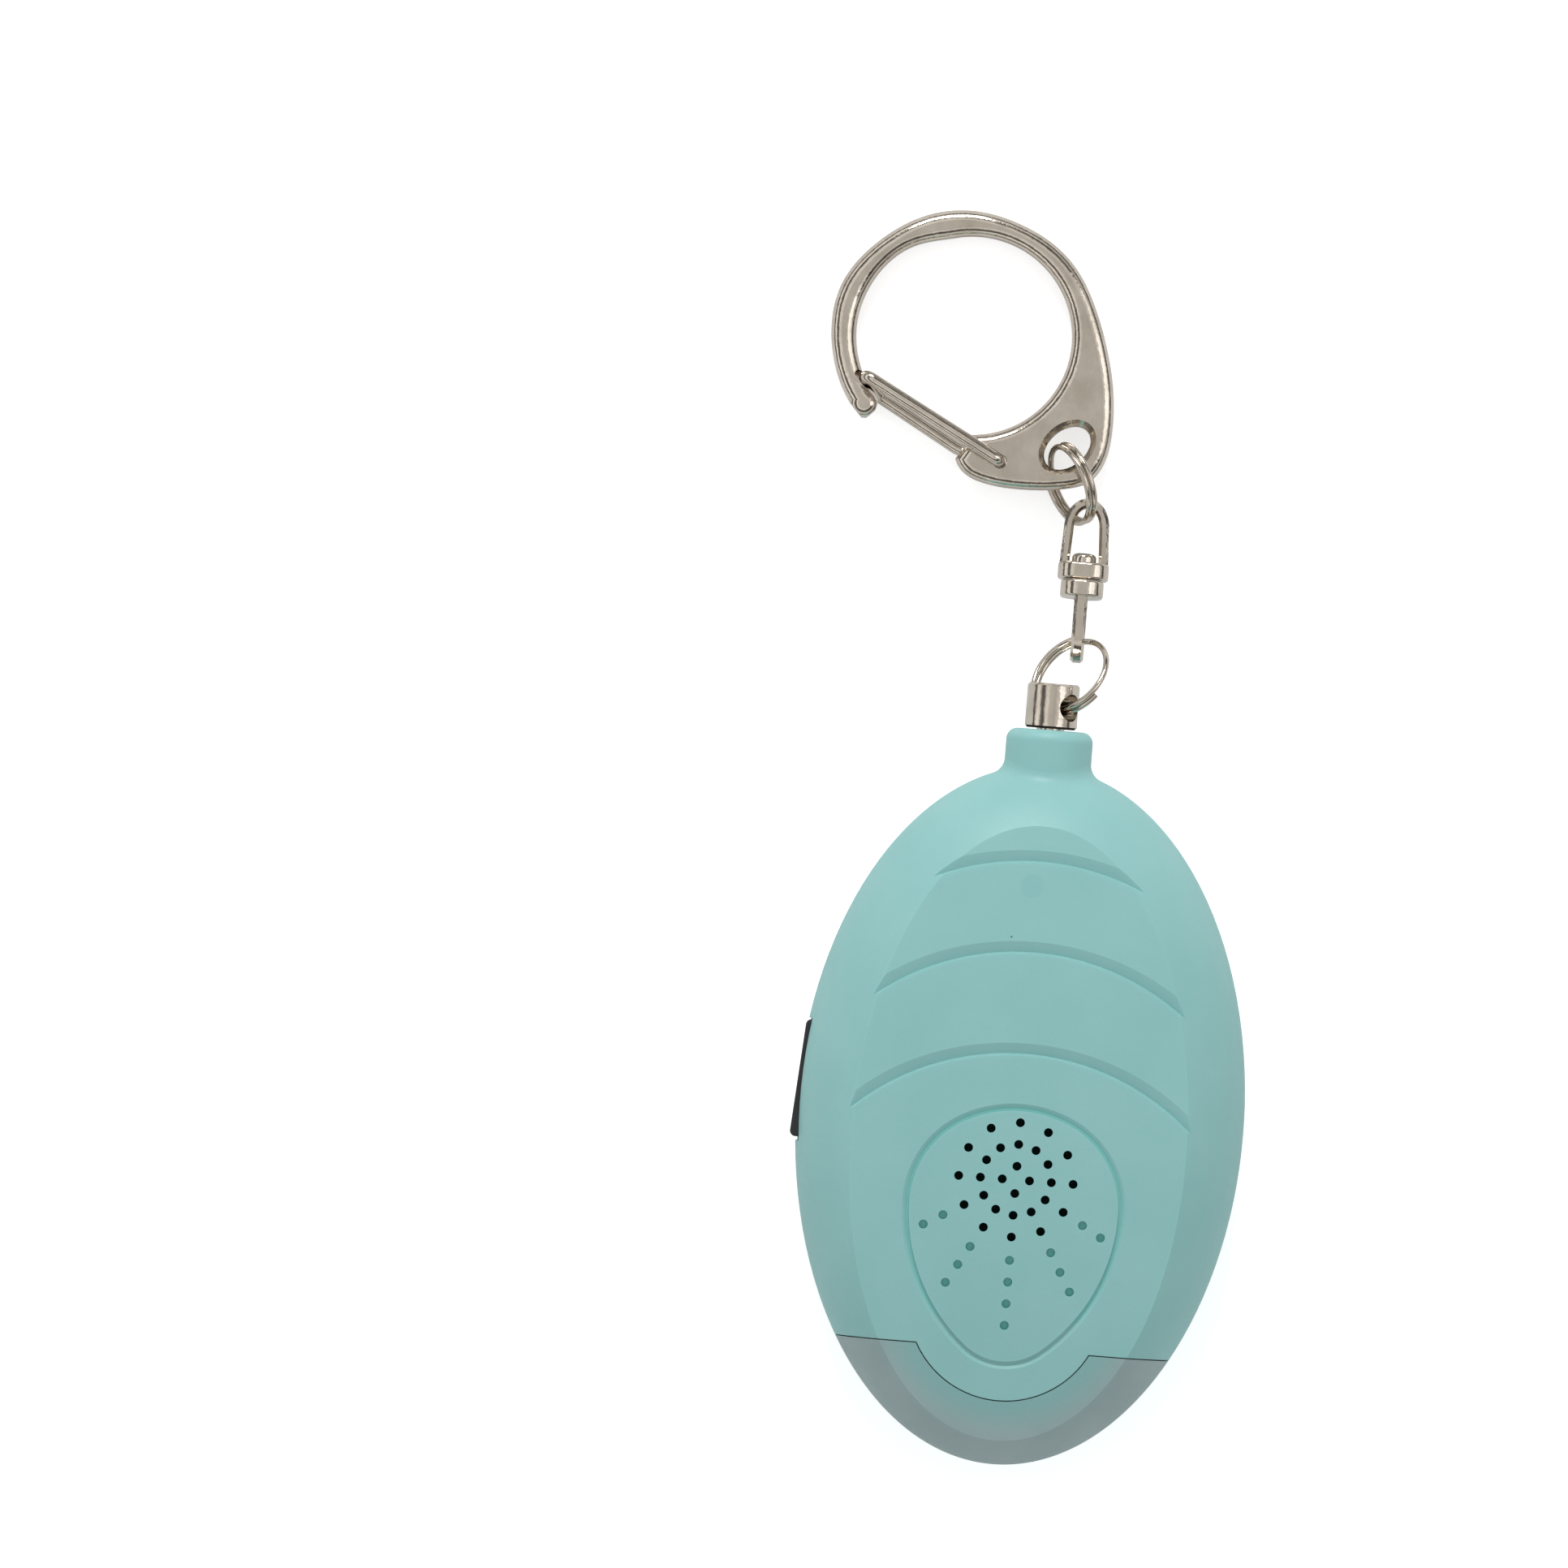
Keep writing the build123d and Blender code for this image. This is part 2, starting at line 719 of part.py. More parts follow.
# Lamps
def lamp(x, back_y):
    body = along_y(lamp_radius, back_y - lamp_length + lamp_radius, back_y, x, lamp_height)
    body += Pos(x, back_y - lamp_length + lamp_radius, lamp_height) * Sphere(lamp_radius)
    body += along_y(lamp_rim_radius, back_y - lamp_rim_length, back_y, x, lamp_height)
    for side in (-1, 1):
        lead_x = x + side * lamp_lead_pitch / 2
        half = lamp_lead / 2
        body += block((lead_x - half, back_y, lamp_height - half), (lead_x + half, back_y + lamp_lead_reach, lamp_height + half))
        body += block((lead_x - half, back_y + lamp_lead_reach - lamp_lead, board_top),
                      (lead_x + half, back_y + lamp_lead_reach, lamp_height + half))
    return body


def lamps():
    side_y = lamp_back_y + lamp_side_set_back
    return [lamp(-lamp_spacing, side_y), lamp(0, lamp_back_y), lamp(lamp_spacing, side_y)]


# Button
def side_button():
    half = button_height / 2
    outline = make_face(Polyline((button_top_x, button_top_y), (button_low_x, button_low_y),
                                 (button_root_x, button_low_y), (button_root_x, button_top_y), close=True))
    cap = Pos(0, 0, parting_height - half) * extrude(outline, button_height)
    ends = [edge for edge in cap.edges().filter_by(Axis.Z) if edge.center().X < button_top_x + button_corner / 2]
    cap = cap.fillet(button_corner, ends)
    rims = [edge for edge in cap.edges() if edge.center().X < button_top_x + button_corner / 2
            and abs(abs(edge.center().Z - parting_height) - half) < overrun / 100]
    cap = cap.chamfer(button_corner / 3, None, rims)
    flange_half = half + button_flange
    flange_x = button_root_x - button_flange_thickness / 2
    body = cap + block((flange_x, button_low_y - button_flange, parting_height - flange_half),
                       (flange_x + button_flange_thickness, pivot_y - pivot_post_radius - button_gap,
                        parting_height + flange_half))
    pivot = (pivot_x, pivot_y)
    low, high = parting_height - pivot_lug_height / 2, parting_height + pivot_lug_height / 2
    body += column(pivot, pivot_lug_radius, low, high)
    nub_z = board_top + switch_height / 2
    nub_end = switch_x - switch_size / 2 - plunger_reach - nub_gap
    nub = Pos(button_root_x, switch_y, nub_z) * Rot(0, 90, 0) * Cylinder(nub_radius, nub_end - button_root_x, align=stand)
    body += nub
    return body - column(pivot, pivot_radius + pivot_fit, low, high)


def button_pin():
    half = pivot_pin_length / 2
    return column((pivot_x, pivot_y), pivot_radius, parting_height - half, parting_height + half)


def switch_body():
    body = Pos(switch_x, switch_y, board_top) * Box(switch_size, switch_size, switch_height, align=stand)
    return body - plunger(plunger_fit, plunger_room)


def plunger(grow, deeper):
    face_x = switch_x - switch_size / 2
    length = plunger_reach + plunger_depth
    stem = Pos(face_x - plunger_reach, switch_y, board_top + switch_height / 2) * Rot(0, 90, 0)
    return stem * Cylinder(plunger_radius + grow, length + deeper, align=stand)


def switch_plunger():
    return plunger(0, 0)


# Parts on the board
def boost_coil():
    low, high = board_top, board_top + coil_height
    core = column(coil_place, coil_radius, low, low + coil_flange)
    core += column(coil_place, coil_radius, high - coil_flange, high)
    return core + column(coil_place, coil_waist_share * coil_radius, low, high)


def capacitor():
    can = column(capacitor_place, capacitor_radius, board_top, board_top + capacitor_height)
    return can.fillet(capacitor_radius / 8, can.edges().group_by(Axis.Z)[-1])


def board_block(place, size):
    return Pos(place[0], place[1], board_top) * Box(*size, align=stand)


def resistors():
    return [board_block((resistor_place[0] + index * resistor_pitch, resistor_place[1]),
                        (resistor_size[1], resistor_size[0], resistor_size[2])) for index in range(resistor_count)]


# Pull pin
def pin_socket():
    end = neck_end_y - socket_recess
    sleeve = along_y(socket_radius, socket_start_y, end)
    sleeve += along_y(socket_flange_radius, socket_flange_y, socket_flange_y + socket_flange_length)
    return sleeve - along_y(pin_radius + pin_fit, socket_start_y, end)


def pin_wipers():
    """Two flat springs that the pin holds apart."""
    touch = pin_radius + leaf_gap + leaf_thickness / 2
    wipers = []
    for side in (-1, 1):
        points = [(side * wiper_bend_x, board_head_y - wiper_start_room),
                  (side * wiper_bend_x, neck_end_y - wiper_bend_depth),
                  (side * touch, neck_end_y - wiper_touch_depth),
                  (side * (touch + wiper_flare), neck_end_y - wiper_end_depth)]
        wipers.append(strip(points, leaf_thickness, Plane.XY.offset(board_top + wiper_height / 2), wiper_height))
    return wipers


def pull_pin():
    end = cap_start_y + cap_seat_depth
    shaft = along_y(pin_radius, neck_end_y - pin_tip_depth, end)
    shaft = shaft.chamfer(pin_tip_chamfer, None, shaft.edges().filter_by(GeomType.CIRCLE).group_by(Axis.Y)[0])
    half = pin_groove_width / 2
    groove = along_y(2 * pin_radius, pin_groove_y - half, pin_groove_y + half)
    return shaft - (groove - along_y(pin_radius - pin_groove_depth, pin_groove_y - half, pin_groove_y + half))


def hole_direction():
    turn = math.radians(cap_hole_angle)
    return Vector(math.cos(turn), 0, math.sin(turn))


def pin_cap():
    cap = along_y(cap_radius, cap_start_y, cap_start_y + cap_length)
    cap = cap.chamfer(cap_chamfer, None, cap.edges().filter_by(GeomType.CIRCLE))
    cap -= along_y(pin_radius + leaf_gap, cap_start_y, cap_start_y + cap_seat_depth + leaf_gap)
    hole = Plane(origin=cap_hole, z_dir=hole_direction())
    cap -= hole * Cylinder(cap_hole_radius, 3 * cap_radius)
    return cap


# Rings
def split_ring(frame, radius, start_angle, turns):
    height = ring_pitch * turns
    path = Helix(pitch=ring_pitch, height=height, radius=radius)
    section = Plane(origin=path @ 0, z_dir=path % 0) * Circle(ring_wire / 2)
    coil = sweep(section, path=path, is_frenet=True)
    return frame * Rot(0, 0, start_angle) * Pos(0, 0, -height / 2) * coil


def lower_ring_frame():
    drop = math.radians(lower_ring_drop)
    turn = math.radians(cap_hole_angle)
    out = Vector(math.sin(turn) * math.sin(drop), math.cos(drop), -math.cos(turn) * math.sin(drop))
    centre = cap_hole + out * (lower_ring_radius - ring_slack) + hole_direction() * lower_ring_shift
    return Plane(origin=centre, x_dir=out, z_dir=hole_direction().cross(out))


def upper_ring_centre():
    crown = Vector(0, lower_face() + link_gap + link_length - link_bar, 0)
    return swivel_frame().from_local_coords(crown) + Vector(upper_ring_x, upper_ring_y, upper_ring_z)


def upper_ring_frame():
    heading = math.radians(upper_ring_heading)
    lean = math.radians(upper_ring_lean)
    along = Vector(math.sin(heading), -math.cos(heading), 0)
    side = Vector(math.cos(heading), math.sin(heading), 0)
    up = side * math.cos(lean) + Vector(0, 0, 1) * math.sin(lean)
    return Plane(origin=upper_ring_centre(), x_dir=along, z_dir=along.cross(up))


def lower_split_ring():
    return split_ring(lower_ring_frame(), lower_ring_radius, lower_ring_start_angle, lower_ring_turns)


def upper_split_ring():
    return split_ring(upper_ring_frame(), upper_ring_radius, upper_ring_start_angle, upper_ring_turns)


# Swivel
def swivel_frame():
    """Origin on the lower ring's wire, y along the swivel, z up and square to it."""
    ring = lower_ring_frame()
    origin = ring.from_local_coords(Vector(*polar((0, 0), lower_ring_radius, link_ring_angle)))
    drop = math.radians(link_drop_angle)
    return Plane(origin=origin, x_dir=(1, 0, 0), z_dir=(0, math.sin(drop), math.cos(drop)))


def arch_face(inset):
    root_y = link_bevel
    body = make_face(Polyline((-link_root_half_width + inset, root_y), (link_root_half_width - inset, root_y),
                              (link_shoulder_half_width - inset, link_shoulder_y),
                              (-link_shoulder_half_width + inset, link_shoulder_y), close=True))
    crown = Ellipse(link_shoulder_half_width - inset, link_length - link_shoulder_y - inset)
    return body + Pos(0, link_shoulder_y) * crown


def link():
    """Plate and arch of the swivel: the plate's outer face at y 0, the arch towards +Y."""
    arch = extrude(arch_face(0) - arch_face(link_bar), link_depth / 2, both=True)
    rims = [edge for edge in arch.edges() if abs(abs(edge.center().Z) - link_depth / 2) < overrun / 100
            and edge.bounding_box().max.Y > link_plate_thickness]
    arch = arch.chamfer(link_bevel, None, rims)
    plan = RectangleRounded(link_plate_width, link_plate_depth, link_plate_corner)
    plate = Rot(-90, 0, 0) * extrude(plan, link_plate_thickness)
    plate = plate.fillet(link_bevel, plate.faces().filter_by(Axis.Y).edges())
    body = plate + arch
    return body - along_y(rivet_radius + rivet_fit, -link_gap, link_plate_thickness + link_gap, 0, 0)


def rivet_tail(height):
    """The spread end of the rivet, flush with the inner face of the lower plate."""
    cone = Cone(rivet_tail_radius, rivet_radius + rivet_fit, height, align=stand)
    return Pos(0, lower_face() - link_plate_thickness, 0) * Rot(-90, 0, 0) * cone


def lower_face():
    """Distance along the swivel to the outer face of the lower casting."""
    return link_length - link_bar - link_arch_gap


def swivel_eye():
    return swivel_frame() * (Pos(0, lower_face(), 0) * Rot(0, 90, 0) * Rot(0, 0, 180) * link()
                             - rivet_tail(rivet_tail_height))


def swivel_bow():
    return swivel_frame() * Pos(0, lower_face() + link_gap, 0) * link()


def swivel_rivet():
    start = lower_face() - link_plate_thickness
    end = lower_face() + link_gap + link_plate_thickness + rivet_fit
    shank = along_y(rivet_radius, start, end + rivet_head_height, 0, 0)
    tail = rivet_tail(rivet_tail_height)
    head = along_y(rivet_head_radius, end, end + rivet_head_height, 0, 0)
    head = head.fillet(rivet_head_height / 2, head.edges().filter_by(GeomType.CIRCLE).group_by(Axis.Y)[-1])
    return swivel_frame() * (shank + tail + head)


# Clip
def clip_frame_location():
    centre = upper_ring_centre() + Vector(clip_x, clip_y, clip_z)
    return Pos(centre.X, centre.Y, centre.Z) * Rot(-clip_tilt, 0, 0)


def clip_point(share):
    return share[0] * clip_bore_radius, share[1] * clip_bore_radius


def clip_outline():
    bore = CenterArc((0, 0), clip_bore_radius, clip_inner_start_angle, clip_inner_end_angle - clip_inner_start_angle)
    hook = Spline(bore @ 1, *[clip_point(share) for share in clip_hook_inner_shares], tangents=(bore % 1, (1, -2)))
    outer_points = [clip_point(share) for share in clip_outer_shares]
    nose = ThreePointArc(hook @ 1, clip_point(clip_tip_share), outer_points[0])
    outer = Spline(*outer_points)
    heel = Line(outer @ 1, bore @ 0)
    return make_face(Wire([bore, hook, nose, outer, heel]))


def tip_flats():
    """What the filed sides of the hook's tip leave off."""
    points = [clip_point(share) for share in clip_tip_flat_shares]
    low = min(point[1] for point in points) - clip_thickness
    keep = make_face(Polyline(*points, close=True))
    room = make_face(Polyline(points[0], (points[0][0], low), (points[-1][0], low), points[-1], close=True))
    right = Polyline(points[0], (points[0][0] + clip_thickness, points[0][1]), (points[0][0] + clip_thickness, low),
                     (points[0][0], low), close=True)
    left = Polyline(points[-1], (points[-1][0] - clip_thickness, points[-1][1]),
                    (points[-1][0] - clip_thickness, low), (points[-1][0], low), close=True)
    cut = room + make_face(right) + make_face(left) - keep
    return extrude(cut, clip_thickness, both=True)


def gate_corners():
    """Centre line of the gate wire, from the front pivot end round to the rear one."""
    level = clip_thickness / 2 + gate_face_gap + gate_radius
    pivot = (gate_pivot_x, gate_pivot_y)
    front, back, kink = (clip_point(share) for share in (gate_front_shares, gate_back_shares, gate_kink_shares))
    return [(*pivot, gate_end_gap), (*pivot, level), (*front, level), (*back, -level), (*kink, -level),
            (*pivot, -level), (*pivot, -gate_end_gap)]


def clip_frame():
    body = extrude(clip_outline(), clip_thickness / 2, both=True)
    flat = [edge for edge in body.edges() if abs(abs(edge.center().Z) - clip_thickness / 2) < overrun / 100]
    body = body.fillet(clip_round, flat)
    eye = Pos(eye_x, eye_y, 0) * Rot(0, 0, eye_angle)
    body -= eye * extrude(Ellipse(eye_half_length, eye_half_width), clip_thickness, both=True)
    rim = [edge for edge in body.edges() if abs(abs(edge.center().Z) - clip_thickness / 2) < overrun / 100
           and math.hypot(edge.bounding_box().center().X - eye_x, edge.bounding_box().center().Y - eye_y) < eye_bevel]
    body = body.chamfer(eye_bevel, None, rim)
    body -= column((gate_pivot_x, gate_pivot_y), gate_radius + gate_pivot_fit, -clip_thickness, clip_thickness)
    body -= tip_flats()
    corners = gate_corners()
    for angle in (0, -gate_notch_angle, -2 * gate_notch_angle):
        notch = Edge.make_line(corners[2], corners[3])
        pocket = Plane(origin=notch @ 0, z_dir=notch % 0) * Cylinder(gate_radius + gate_notch_gap, notch.length, align=stand)
        body -= Pos(gate_pivot_x, gate_pivot_y, 0) * Rot(0, 0, angle) * Pos(-gate_pivot_x, -gate_pivot_y, 0) * pocket
    return clip_frame_location() * body


def clip_gate():
    radii = [gate_bend_radius, gate_bend_radius, gate_bend_radius, gate_kink_radius, gate_bend_radius]
    path = FilletPolyline(*gate_corners(), radius=radii)
    section = Plane(origin=path @ 0, z_dir=path % 0) * Circle(gate_radius)
    return clip_frame_location() * sweep(section, path=path)


pieces = {
    "front_shell": front_shell,
    "rear_shell": rear_shell,
    "dust_felt": dust_felt,
    "lens": lens,
    "battery_door": battery_door,
    "door_screw": door_screw,
    "case_screws": case_screws,
    "circuit_board": circuit_board,
    "coin_cells": coin_cells,
    "negative_contact": negative_contact,
    "positive_contact": positive_contact,
    "siren_disc": siren_disc,
    "siren_ceramic": siren_ceramic,
    "siren_seal": siren_seal,
    "siren_contacts": siren_contacts,
    "lamps": lamps,
    "side_button": side_button,
    "button_pin": button_pin,
    "switch_body": switch_body,
    "switch_plunger": switch_plunger,
    "boost_coil": boost_coil,
    "capacitor": capacitor,
    "control_chip": lambda: board_block(chip_place, chip_size),
    "transistor": lambda: board_block(transistor_place, transistor_size),
    "resistors": resistors,
    "pin_socket": pin_socket,
    "pin_wipers": pin_wipers,
    "pull_pin": pull_pin,
    "pin_cap": pin_cap,
    "lower_split_ring": lower_split_ring,
    "swivel_eye": swivel_eye,
    "swivel_rivet": swivel_rivet,
    "swivel_bow": swivel_bow,
    "upper_split_ring": upper_split_ring,
    "clip_frame": clip_frame,
    "clip_gate": clip_gate,
}


def main():
    os.makedirs("parts", exist_ok=True)
    for name, make in pieces.items():
        shape = make()
        solids = shape if isinstance(shape, list) else [shape]
        if len(solids) > 1:
            shape = Compound(children=[solid.solid() for solid in solids])
        else:
            shape = solids[0]
        export_step(shape, f"parts/{name}.step")
        print(name, len(solids), round(sum(solid.volume for solid in solids), 3))


if __name__ == "__main__":
    main()
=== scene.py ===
import math

import bpy
from mathutils import Matrix, Vector

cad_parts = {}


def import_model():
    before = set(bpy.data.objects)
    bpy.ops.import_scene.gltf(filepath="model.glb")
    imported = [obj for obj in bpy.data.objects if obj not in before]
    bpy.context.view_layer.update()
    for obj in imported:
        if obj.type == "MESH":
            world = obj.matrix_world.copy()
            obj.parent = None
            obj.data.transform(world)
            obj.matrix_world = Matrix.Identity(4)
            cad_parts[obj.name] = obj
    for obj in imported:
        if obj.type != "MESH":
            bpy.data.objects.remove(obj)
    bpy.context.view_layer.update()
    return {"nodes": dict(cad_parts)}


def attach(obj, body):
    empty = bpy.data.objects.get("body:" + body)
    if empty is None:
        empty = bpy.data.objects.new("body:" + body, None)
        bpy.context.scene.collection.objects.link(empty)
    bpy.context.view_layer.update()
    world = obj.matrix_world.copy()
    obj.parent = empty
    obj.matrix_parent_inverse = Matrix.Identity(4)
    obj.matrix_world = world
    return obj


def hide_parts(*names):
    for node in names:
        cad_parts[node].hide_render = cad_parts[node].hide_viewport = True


# Personal safety alarm on a white table, seen straight from above. Lengths are in metres.
MM = 0.001
PHOTO_SIDE = 1932
SCALE = 0.08696 * MM
LOOK_AT = Vector((-28.0, 33.4, 10.5)) * MM
UP_SIDE, UP_AHEAD = -0.0785, 0.9969
CAMERA_HEIGHT = 3.0
SENSOR = 36.0

# Sizes and places on the part, in millimetres.
RING_WIRE = 0.62
RING_PITCH = 0.68
FACE_CREST_Y = 5.9
FACE_RADIUS = 170
FACE_TOP, CUT_FLOOR = 21.46, 21.1
SHIELD_CENTRE, SHIELD_END, SHIELD_FADE_END = (0.0, -9.0), 14.5, 15.3
SINK_MARK, SINK_EDGE, SINK_FADE_END = (-0.7, 24.6), 1.15, 1.4
SPECK, SPECK_EDGE, SPECK_FADE_END = (-2.5, 19.05), 0.08, 0.15
TONGUE_CENTRE, TONGUE_EDGE, GLOW_END = (0.0, -20.1), 10.7, 15.0

# The light: one window beyond the top of the picture, and what reflections see of the room.
WINDOW_PLACE, WINDOW_SIZE, WINDOW_POWER = (-0.12, 0.86, 0.56), (0.40, 0.26), 4.9
ROOM_LEVEL = 0.65
ROOM_BANDS = ((0.0, 0.08), (0.2, 0.14), (0.3, 1.0), (0.52, 0.95), (0.62, 0.14), (0.8, 0.1), (0.87, 1.0),
              (0.94, 1.0), (0.975, 0.7), (1.0, 0.76))
ROOM_WARMTH = (1.0, 0.985, 0.96)
PANEL_TOWARDS, PANEL_FADE_START, PANEL_EDGE, PANEL_LEVEL = (0.64, 0.2, 0.74), 0.36, 0.24, 1.5
CARD_LIFT = 0.56


def linear(text):
    """An sRGB hex colour as linear RGBA."""
    parts = [int(text[i:i + 2], 16) / 255 for i in (1, 3, 5)]
    return tuple(c / 12.92 if c <= 0.04045 else ((c + 0.055) / 1.055) ** 2.4 for c in parts) + (1.0,)


def add(tree, kind, settings=None, links=None):
    """Adds one node, sets its sockets or properties, and links its inputs."""
    node = tree.nodes.new(kind)
    for key, value in (settings or {}).items():
        if isinstance(key, int) or key in node.inputs:
            node.inputs[key].default_value = value
        else:
            setattr(node, key, value)
    for key, source in (links or {}).items():
        tree.links.new(source, node.inputs[key])
    return node


def surface(name, **values):
    """A new material with its shader's constants set, its tree and its object coordinates."""
    material = bpy.data.materials.new(name)
    material.use_nodes = True
    tree = material.node_tree
    shader = tree.nodes["Principled BSDF"]
    for key, value in values.items():
        shader.inputs[key.replace("_", " ")].default_value = value
    place = add(tree, "ShaderNodeTexCoord").outputs["Object"]
    return material, tree, shader, place


def speckle(tree, place, size, low, high, detail=2.0):
    """Noise with blobs of a real size in millimetres, remapped to a range."""
    noise = add(tree, "ShaderNodeTexNoise", {"Scale": 1 / (size * MM), "Detail": detail}, {"Vector": place})
    return add(tree, "ShaderNodeMapRange", {"From Min": 0.3, "From Max": 0.7, "To Min": low, "To Max": high},
               {"Value": noise.outputs["Fac"]}).outputs["Result"]


def finish(tree, shader, factor, first, second, rough, height, depth):
    """Links a finish: a colour between two, a roughness, and a relief of a real depth in millimetres."""
    mix = add(tree, "ShaderNodeMix", {"data_type": "RGBA"}, {0: factor})
    for socket, colour in ((mix.inputs[6], first), (mix.inputs[7], second)):
        if isinstance(colour, str):
            socket.default_value = linear(colour)
        else:
            tree.links.new(colour, socket)
    tree.links.new(mix.outputs[2], shader.inputs["Base Color"])
    tree.links.new(rough, shader.inputs["Roughness"])
    relief = add(tree, "ShaderNodeBump", {"Distance": depth * MM}, {"Height": height})
    tree.links.new(relief.outputs["Normal"], shader.inputs["Normal"])


def away(tree, place, centre, start, end):
    """Rises from 0 to 1 between two distances in millimetres from an upright line."""
    flat = add(tree, "ShaderNodeVectorMath", {"operation": "MULTIPLY", 1: (1, 1, 0)}, {0: place})
    gap = add(tree, "ShaderNodeVectorMath", {"operation": "DISTANCE", 1: (centre[0] * MM, centre[1] * MM, 0)},
              {0: flat.outputs["Vector"]})
    return add(tree, "ShaderNodeMapRange",
               {"From Min": start * MM, "From Max": end * MM, "interpolation_type": "SMOOTHSTEP"},
               {"Value": gap.outputs["Value"]}).outputs["Result"]


def bounce_depth_mask(tree, place):
    """Rises from 0 to 1 in the holes, dimples and line of the shield, by the depth below the curved face; it places the
    painted bounce light.
    """
    parts = add(tree, "ShaderNodeSeparateXYZ", {}, {0: place}).outputs
    ahead = add(tree, "ShaderNodeMath", {"operation": "SUBTRACT", 1: FACE_CREST_Y * MM}, {0: parts["Y"]})
    fall = add(tree, "ShaderNodeMath", {"operation": "MULTIPLY"}, {0: ahead.outputs[0], 1: ahead.outputs[0]})
    fall = add(tree, "ShaderNodeMath", {"operation": "MULTIPLY_ADD", 1: 0.5 / (FACE_RADIUS * MM)},
               {0: fall.outputs[0], 2: parts["Z"]})
    depth = add(tree, "ShaderNodeMapRange", {"From Min": FACE_TOP * MM, "From Max": CUT_FLOOR * MM},
                {"Value": fall.outputs[0]})
    outside = away(tree, place, SHIELD_CENTRE, SHIELD_END, SHIELD_FADE_END)
    return add(tree, "ShaderNodeMath", {"operation": "SUBTRACT", "use_clamp": True},
               {0: depth.outputs["Result"], 1: outside}).outputs[0]


def mint_abs():
    """Moulded ABS from a lightly sparked tool: satin, with a grain of a quarter of a millimetre."""
    material, tree, shader, place = surface("mint_satin_abs", IOR=1.5, Subsurface_Weight=0.2, Subsurface_Scale=1.4 * MM)
    shader.inputs["Subsurface Radius"].default_value = (0.35, 1.0, 0.95)
    cloud = speckle(tree, place, 9.0, 0.0, 1.0)
    body = add(tree, "ShaderNodeMix", {"data_type": "RGBA", 6: linear("#8CC2C0"), 7: linear("#92C6C4")}, {0: cloud})
    # Painted shade: the mint is painted a little darker over the shallow dip of the sink mark.
    sink_shade = add(tree, "ShaderNodeMix", {"data_type": "RGBA", 6: linear("#89C0BE")},
               {0: away(tree, place, SINK_MARK, SINK_EDGE, SINK_FADE_END), 7: body.outputs[2]})
    # Painted bounce light: the holes, dimples and shield line are painted a more saturated teal for light bouncing off
    # their mint walls.
    painted_bounce = add(tree, "ShaderNodeMix", {"data_type": "RGBA", 7: linear("#7CC8C3")},
              {0: bounce_depth_mask(tree, place), 6: sink_shade.outputs[2]})
    speck = away(tree, place, SPECK, SPECK_EDGE, SPECK_FADE_END)
    finish(tree, shader, speck, "#4E7A78", painted_bounce.outputs[2], speckle(tree, place, 0.6, 0.42, 0.52),
           speckle(tree, place, 0.28, 0.0, 1.0, 3.0), 0.006)
    return material


def plastic(name, first, second, rough, grain=0.25, depth=0.006):
    """Moulded plastic: satin, with the fine grain of its tool."""
    material, tree, shader, place = surface(name, IOR=1.5)
    finish(tree, shader, speckle(tree, place, 2.5, 0.0, 1.0), first, second,
           speckle(tree, place, 0.5, rough - 0.05, rough + 0.05), speckle(tree, place, grain, 0.0, 1.0), depth)
    return material


def frosted_lens():
    """Polycarbonate moulded against a blasted tool: grey and soft, with the mint of the shell showing at its tongue."""
    material, tree, shader, place = surface("frosted_polycarbonate", IOR=1.5, Transmission_Weight=0.12)
    cloud = speckle(tree, place, 6.0, 0.0, 1.0)
    grey = add(tree, "ShaderNodeMix", {"data_type": "RGBA", 6: linear("#9AB1B3"), 7: linear("#A2B8BA")}, {0: cloud})
    glow = away(tree, place, TONGUE_CENTRE, TONGUE_EDGE, GLOW_END)
    near = add(tree, "ShaderNodeMath", {"operation": "SUBTRACT", 0: 1.0}, {1: glow})
    finish(tree, shader, near.outputs[0], grey.outputs[2], "#8ABBB9", speckle(tree, place, 0.5, 0.46, 0.56),
           speckle(tree, place, 0.2, 0.0, 1.0, 3.0), 0.008)
    return material


def metal(name, first, second, rough, grain=0.4, depth=0.004, spots=1.5):
    """Metal with faint mottling and the fine scratches of use."""
    material, tree, shader, place = surface(name, Metallic=1.0)
    drawn = add(tree, "ShaderNodeMapping", {"Scale": (1.0, 0.12, 1.0), "Rotation": (0.0, 0.0, 0.5)}, {"Vector": place})
    scratches = speckle(tree, drawn.outputs["Vector"], 0.12, -0.03, 0.05, 3.0)
    base = speckle(tree, place, spots, rough - 0.03, rough + 0.04)
    total = add(tree, "ShaderNodeMath", {"operation": "ADD", "use_clamp": True}, {0: base, 1: scratches})
    finish(tree, shader, speckle(tree, place, spots, 0.0, 1.0, 4.0), first, second, total.outputs[0],
           speckle(tree, place, grain, 0.0, 1.0, 3.0), depth)
    return material


def board_laminate():
    """Glass-cloth laminate under a green solder mask: the weave shows faintly."""
    material, tree, shader, place = surface("solder_mask_laminate", IOR=1.5, Coat_Weight=0.4, Coat_Roughness=0.15)
    weave = add(tree, "ShaderNodeTexWave", {"Scale": 1 / (3.2 * MM), "Distortion": 0.4}, {"Vector": place})
    finish(tree, shader, speckle(tree, place, 4.0, 0.0, 1.0), "#1B5538", "#236546",
           speckle(tree, place, 1.0, 0.3, 0.42), weave.outputs["Fac"], 0.004)
    return material


def clear_resin():
    """Cast epoxy of a lamp: clear and glossy."""
    material, tree, shader, place = surface("clear_epoxy", IOR=1.55, Transmission_Weight=0.85)
    finish(tree, shader, speckle(tree, place, 2.0, 0.0, 1.0), "#EEF2F4", "#E9EEF1",
           speckle(tree, place, 0.8, 0.05, 0.12), speckle(tree, place, 0.5, 0.0, 1.0), 0.003)
    return material


